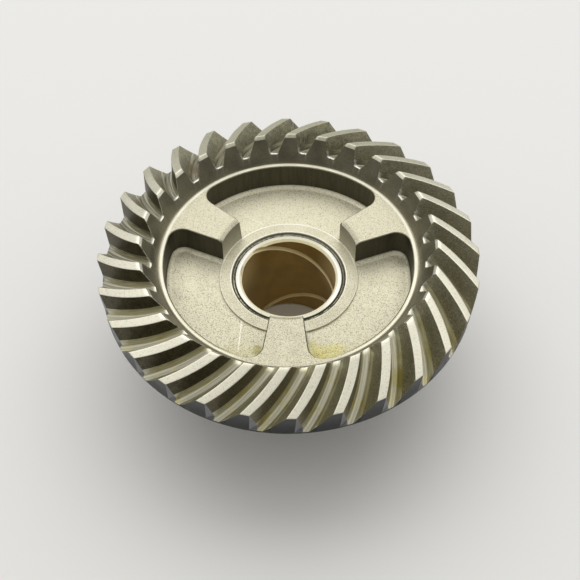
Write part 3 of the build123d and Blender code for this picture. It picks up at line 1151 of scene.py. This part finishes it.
def recess(form, sizes, bore_radius, rim):
    """The middle of the gear inside a rim of edges, open at its outer wall and at its bottom."""
    top = sizes.hub_height / MM
    boss = sizes.boss_radius / MM
    boss_height = boss_top(sizes)
    bottom = 0.62
    plug = bmesh.new()
    verts = {vert: plug.verts.new(vert.co) for edge in rim for vert in edge.verts}
    for edge in rim:
        plug.edges.new([verts[vert] for vert in edge.verts])
    face = bmesh.ops.contextual_create(plug, geom=plug.edges[:])["faces"]
    extrude_flat(plug, face, bottom - top)

    # The cutters stand clear of each other by this much, and the steps are merged afterwards.
    clear = 0.002
    over = 1.0
    mouth = bore_radius + BORE_MOUTH
    well = turned_solid([(0, -over), (bore_radius, -over), (bore_radius, boss_height - BORE_MOUTH),
                         (mouth, boss_height), (boss + clear, boss_height),
                         (boss + clear, top - DOG_CHAMFER_DROP),
                         (boss + DOG_CHAMFER_REACH, top + over), (0, top + over)], ROUND_STEPS)
    plug = subtract(plug, well)
    plug = subtract(plug, pocket_cutters(sizes, boss_height + clear))
    merge(plug, 2 * clear)
    outer = form.collar_edge[0] - 0.01
    waste = [f for f in plug.faces if all(v.co.xy.length > outer for v in f.verts) or
             all(abs(v.co.z - bottom) < 1e-3 for v in f.verts)]
    bmesh.ops.delete(plug, geom=waste, context="FACES")
    bmesh.ops.delete(plug, geom=[e for e in plug.edges if e.is_wire], context="EDGES")
    plug.normal_update()
    near = 0.02
    for face in plug.faces:
        far = max(v.co.xy.length for v in face.verts)
        high = max(v.co.z for v in face.verts)
        if far < mouth + near:
            face.material_index = MOUTH
        elif abs(face.normal.z) > 0.6 or high < boss_height + near:
            face.material_index = BLASTED
        else:
            face.material_index = DOG if far < boss + near else WALL
    return plug


def soften_edges(bm, radius, boss_height):
    """Rounds the sharp edges: a bright burr along the small ends, worn radii elsewhere."""
    sharp = []
    for edge in bm.edges:
        if fold(edge) > 25.0:
            sharp.append(edge)
        elif fold(edge) > 14.0:
            edge.smooth = False
    rim_low = 14.0
    ends, bright, dull, worn = [], [], [], []
    for edge in sharp:
        sides = {face.material_index for face in edge.link_faces}
        height = edge.verts[0].co.z
        if TURNED in sides and sides & {SHADED_FLANK, FLOOR, GROUND}:
            ends.append(edge)
        elif sides <= {BLASTED, MOUTH} and edge.is_convex and height < boss_height + 0.1:
            bright.append(edge)
        elif BLASTED in sides and WALL in sides and edge.is_convex:
            dull.append(edge)
        elif edge.is_convex and height > rim_low and not sides & {TURNED, FLOOR, HEEL}:
            worn.append(edge)
        else:
            edge.smooth = False
    # The boss's edges take the recess edges' finish, whose brightness is partly a painted
    # highlight.
    for edges, width, segments, material in ((ends, 0.9, 1, BURR), (bright, 1.0, 2, EDGE),
                                             (dull, 1.4, 2, LIP), (worn, 0.7, 2, -1)):
        bmesh.ops.bevel(bm, geom=[e for e in edges if e.is_valid], offset=radius * width,
                        segments=segments, profile=0.5, affect="EDGES", material=material,
                        loop_slide=True, clamp_overlap=material == BURR)
    bmesh.ops.dissolve_degenerate(bm, dist=2e-4, edges=bm.edges[:])
    bmesh.ops.delete(bm, geom=[v for v in bm.verts if not v.link_faces], context="VERTS")


class GEAR_OT_bevel_gear(bpy.types.Operator):
    """Build the toothed ring, the recess with its dogs and the hub as one piece"""
    bl_idname = "gear.bevel_gear"
    bl_label = "Bevel Gear"

    def execute(self, context):
        sizes = context.scene.gear_sizes
        form = ToothForm(sizes)
        rows = [0.0] + [HEEL_ROW + (1 - HEEL_ROW) * i / ROWS for i in range(ROWS + 1)]
        bm = toothed_ring(form, rows)
        repeat_round(bm, sizes.teeth)
        rotate_round(bm, sizes.tooth_phase + form.turn / 2)
        merge(bm, 1e-3)
        rim = [e for e in bm.edges if e.is_boundary and e.verts[0].co.z > POCKET_FLOOR]
        add_part(bm, recess(form, sizes, context.scene.bush_sizes.outer_radius / MM, rim))
        merge(bm, 3e-3)
        face_outwards(bm)
        mouth = [e for e in bm.edges if e.is_boundary and e.verts[0].co.z < 1.0]
        for face in bmesh.ops.bridge_loops(bm, edges=mouth)["faces"]:
            face.material_index = SEAT
        face_outwards(bm)
        soften_edges(bm, sizes.edge_radius / MM, boss_top(sizes))
        piece = new_piece("bevel_gear_body", bm, gear_materials(context.scene.gear_finish))
        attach(piece, "root")
        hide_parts("bevel_gear")
        return {"FINISHED"}


# ---- bush ------------------------------------------------------------------

def groove_cutter(sizes, hand):
    """A helical rod that cuts one oil groove, from near the bottom to above the top."""
    pitch = sizes.groove_pitch / MM
    rod = 0.62
    low, high = sizes.bottom / MM + 0.5, sizes.top / MM + 0.6
    sweep = math.tau * (high - low) / pitch
    start = math.radians(145.0 if hand > 0 else 155.0) - sweep * hand
    path = sizes.bore_radius / MM + sizes.groove_depth / MM - rod
    tilt = math.atan2(pitch, math.tau * path) * hand
    bm = bmesh.new()
    bmesh.ops.create_circle(bm, cap_ends=True, segments=14, radius=rod)
    place = (Matrix.Rotation(start, 4, "Z") @ Matrix.Translation((path, 0.0, low)) @
             Matrix.Rotation(tilt, 4, "X") @ Matrix.Rotation(math.pi / 2, 4, "X"))
    bmesh.ops.transform(bm, matrix=place, verts=bm.verts)
    steps = 110
    spin_round(bm, dvec=(0, 0, (high - low) / steps), angle=sweep * hand, steps=steps)
    face_outwards(bm)
    return bm


def bush_solid(sizes):
    """The bush with its grooves and its finishes, in the order of its material slots."""
    outer, bore = sizes.outer_radius / MM, sizes.bore_radius / MM
    top, bottom = sizes.top / MM, sizes.bottom / MM
    inner, foot, edge = 0.42, 0.22, 0.40
    bm = turned_solid([(bore, bottom + inner), (bore + inner, bottom), (outer - foot, bottom),
                       (outer, bottom + foot), (outer, top - edge), (outer - edge, top),
                       (bore + inner, top), (bore, top - inner)], BUSH_STEPS)
    for hand in (1, -1):
        bm = subtract(bm, groove_cutter(sizes, hand))
    merge(bm, 1e-3)
    bm.normal_update()
    shell, rim, lining, lit_side, dark_side, mouth = range(6)
    near = 0.02
    for face in bm.faces:
        reach = max(v.co.xy.length for v in face.verts)
        low = min(v.co.xy.length for v in face.verts)
        tilt = face.normal.z
        if low > bore + inner - near:
            # The outer chamfer takes the mouth's finish: painted shade in the V it makes with the
            # bore's mouth.
            outer_chamfer = reach > outer - edge + near and tilt > 0.3
            face.material_index = mouth if outer_chamfer else shell
        elif 0.5 < abs(tilt) < 0.9 and reach > bore + inner - 0.1:
            face.material_index = rim
        elif reach > bore + 0.05:
            face.material_index = lit_side if tilt > -0.3 else dark_side
        else:
            face.material_index = lining
    sharp = [e for e in bm.edges if fold(e) > 30.0 and e.verts[0].co.xy.length > bore + 0.3]
    bmesh.ops.bevel(bm, geom=sharp, offset=0.07, segments=2, profile=0.5, affect="EDGES",
                    material=-1, clamp_overlap=True)
    for edge in bm.edges:
        if fold(edge) > 32.0:
            edge.smooth = False
    return bm


class GEAR_OT_bore_bush(bpy.types.Operator):
    """Build the bronze-lined bush with its two crossing oil grooves"""
    bl_idname = "gear.bore_bush"
    bl_label = "Bore Bush"

    def execute(self, context):
        bm = bush_solid(context.scene.bush_sizes)
        piece = new_piece("bore_bush_body", bm, bush_materials(context.scene.gear_finish))
        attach(piece, "root")
        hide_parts("bore_bush")
        return {"FINISHED"}


# ---- stage -----------------------------------------------------------------

class GEAR_OT_stage(bpy.types.Operator):
    """Set the floor, the studio lights and the camera"""
    bl_idname = "gear.stage"
    bl_label = "Studio Stage"

    def execute(self, context):
        scene = context.scene
        scene.view_settings.view_transform = "Standard"
        bm = bmesh.new()
        bmesh.ops.create_grid(bm, x_segments=1, y_segments=1, size=1.5)
        floor = new_object("floor", new_mesh("floor", bm))
        pale = bpy.data.materials.new("Pale floor")
        pale.use_nodes = True
        Graph(pale.node_tree).feed(pale.node_tree.nodes["Principled BSDF"],
                                   {"Base Color": (0.8, 0.8, 0.79, 1.0)})
        floor.data.materials.append(pale)

        lamp = bpy.data.lights.new("Overhead softbox", "AREA")
        lamp.shape = "RECTANGLE"
        lamp.size = 1.3
        lamp.size_y = 0.7
        lamp.energy = 3.4
        new_object("Overhead softbox", lamp, (0.0, 0.42, 0.70), (-31.0, 0.0, 0.0))

        # The sky brightens upwards and darkens behind the camera.
        world = bpy.data.worlds.new("Studio")
        world.use_nodes = True
        sky = Graph(world.node_tree)
        way = sky.split(sky.add("ShaderNodeTexCoord").outputs["Generated"])
        rise = sky.span(way["Z"], 0.0, 0.55, 0.22, 0.95)
        shade = sky.span(way["Y"], -0.10, -0.75, 1.0, 0.40)
        sky.feed(world.node_tree.nodes["Background"], {
            "Color": (1.0, 0.985, 0.95, 1.0), "Strength": sky.times(rise, shade, 0.9)})
        scene.world = world

        camera = bpy.data.cameras.new("Camera")
        camera.lens = 72.0
        camera.sensor_width = 36.0
        camera.clip_start = 0.01
        scene.camera = new_object("Camera", camera, (0.0, -0.135381, 0.196823),
                                  (36.9926, 0.31, -0.5116))
        return {"FINISHED"}


class GEAR_PT_panel(bpy.types.Panel):
    """Buttons that build the pieces of the bevel gear"""
    bl_idname = "GEAR_PT_panel"
    bl_label = "Spiral Bevel Gear"
    bl_space_type = "VIEW_3D"
    bl_region_type = "UI"
    bl_category = "Gear"

    def draw(self, context):
        for cls in OPERATORS:
            self.layout.operator(cls.bl_idname)


OPERATORS = (GEAR_OT_bevel_gear, GEAR_OT_bore_bush, GEAR_OT_stage)
CLASSES = (GearSizes, BushSizes, GearFinish) + OPERATORS + (GEAR_PT_panel,)


def register():
    for cls in CLASSES:
        bpy.utils.register_class(cls)
    bpy.types.Scene.gear_sizes = PointerProperty(type=GearSizes)
    bpy.types.Scene.bush_sizes = PointerProperty(type=BushSizes)
    bpy.types.Scene.gear_finish = PointerProperty(type=GearFinish)


def unregister():
    del bpy.types.Scene.gear_finish
    del bpy.types.Scene.bush_sizes
    del bpy.types.Scene.gear_sizes
    for cls in reversed(CLASSES):
        bpy.utils.unregister_class(cls)


def main():
    register()
    bpy.ops.gear.bevel_gear()
    bpy.ops.gear.bore_bush()
    bpy.ops.gear.stage()


if __name__ == "__main__":
    main()
